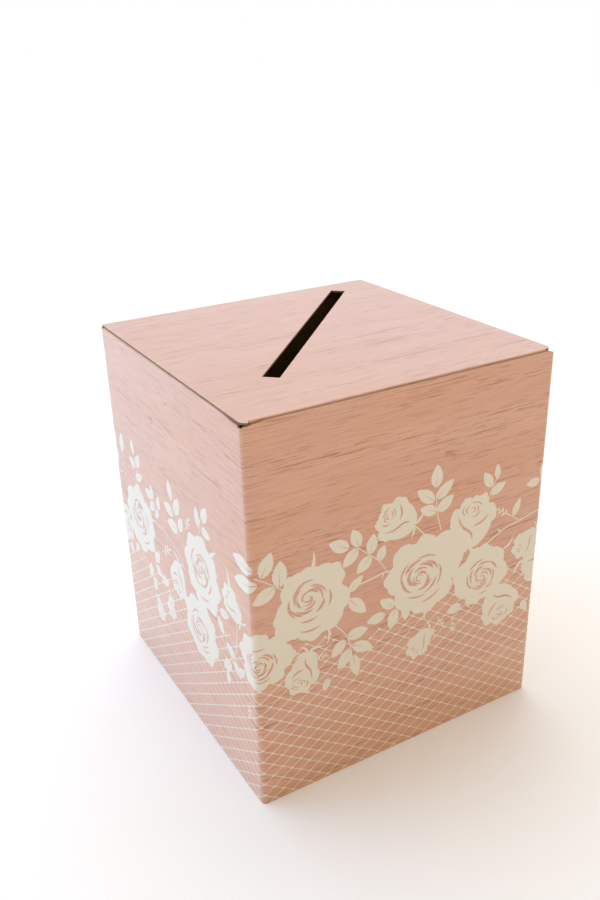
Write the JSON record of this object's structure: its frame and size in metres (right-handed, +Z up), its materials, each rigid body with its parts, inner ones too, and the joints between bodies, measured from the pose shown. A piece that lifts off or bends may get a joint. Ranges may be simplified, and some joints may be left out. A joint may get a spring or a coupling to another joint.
{
  "type": "wedding card box",
  "caption": "Square upright folded carton with a tuck-in lid, a long slanting card slot and a snap-lock bottom.",
  "frame": {"origin": "centre of the base, on the floor", "axes": "+Z up, +Y to the back wall that the lid hinges on, -Y to the front wall that it tucks behind"},
  "size_m": [0.25, 0.25, 0.3],
  "materials": {
    "printed_board": "matt rose-wood print on the outside, plain kraft board inside"
  },
  "bodies": {
    "carton": {"front_wall": "printed_board", "back_wall": "printed_board", "left_wall": "printed_board", "right_wall": "printed_board", "glue_tab": "printed_board", "bottom_main_flap": "printed_board", "bottom_left_flap": "printed_board", "bottom_right_flap": "printed_board", "bottom_lock_flap": "printed_board"},
    "lid": {"lid_panel": "printed_board"},
    "tuck": {"tuck_flap": "printed_board"},
    "left_dust": {"left_dust_flap": "printed_board"},
    "right_dust": {"right_dust_flap": "printed_board"}
  },
  "joints": [
    {"name": "lid_crease", "type": "hinge", "parent": "carton", "child": "lid", "pos_m": [0, 0.125, 0.3], "axis": [-1, 0, 0], "range_deg": [0, 135]},
    {"name": "tuck_crease", "type": "hinge", "parent": "lid", "child": "tuck", "pos_m": [0, -0.1211, 0.2982], "axis": [1, 0, 0], "range_deg": [0, 30], "stiffness_Nm_per_rad": 0.01, "springref_deg": -11.46},
    {"name": "left_dust_crease", "type": "hinge", "parent": "carton", "child": "left_dust", "pos_m": [-0.1232, 0, 0.2963], "axis": [0, 1, 0], "range_deg": [0, 85], "stiffness_Nm_per_rad": 0.015, "springref_deg": -14.32},
    {"name": "right_dust_crease", "type": "hinge", "parent": "carton", "child": "right_dust", "pos_m": [0.1232, 0, 0.2963], "axis": [0, -1, 0], "range_deg": [0, 85], "stiffness_Nm_per_rad": 0.015, "springref_deg": -14.32}
  ]
}
